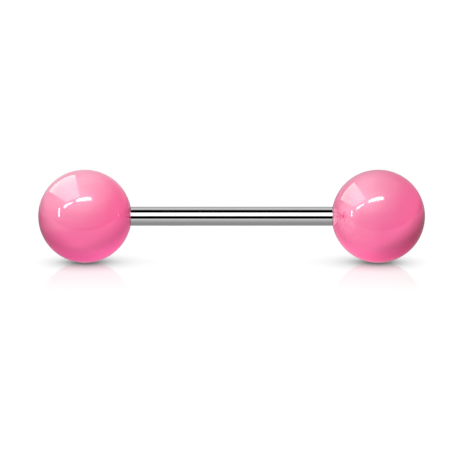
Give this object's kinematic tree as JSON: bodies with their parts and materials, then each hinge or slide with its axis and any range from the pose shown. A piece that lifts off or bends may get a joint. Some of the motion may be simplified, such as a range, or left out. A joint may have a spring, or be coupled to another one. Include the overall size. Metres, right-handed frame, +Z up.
{
  "type": "tongue barbell",
  "caption": "Straight body-jewellery barbell: a polished steel post with threaded ends and a glossy round ball screwed on each end.",
  "frame": {"origin": "on the surface that the barbell lies on, under the middle of the post", "axes": "+X along the post towards the right ball, +Z up, -Y towards the picture's camera"},
  "size_m": [0.0332, 0.008, 0.008],
  "materials": {
    "steel": "polished",
    "acrylic": "gloss"
  },
  "bodies": {
    "bar": {"bar": "steel"},
    "left_ball": {"left_ball": "acrylic"},
    "right_ball": {"right_ball": "acrylic"}
  },
  "joints": [
    {"name": "left_ball_off", "type": "slide", "parent": "bar", "child": "left_ball", "axis": [-1, 0, 0], "range_m": [0, 0.02]},
    {"name": "right_ball_off", "type": "slide", "parent": "bar", "child": "right_ball", "axis": [1, 0, 0], "range_m": [0, 0.02]}
  ]
}
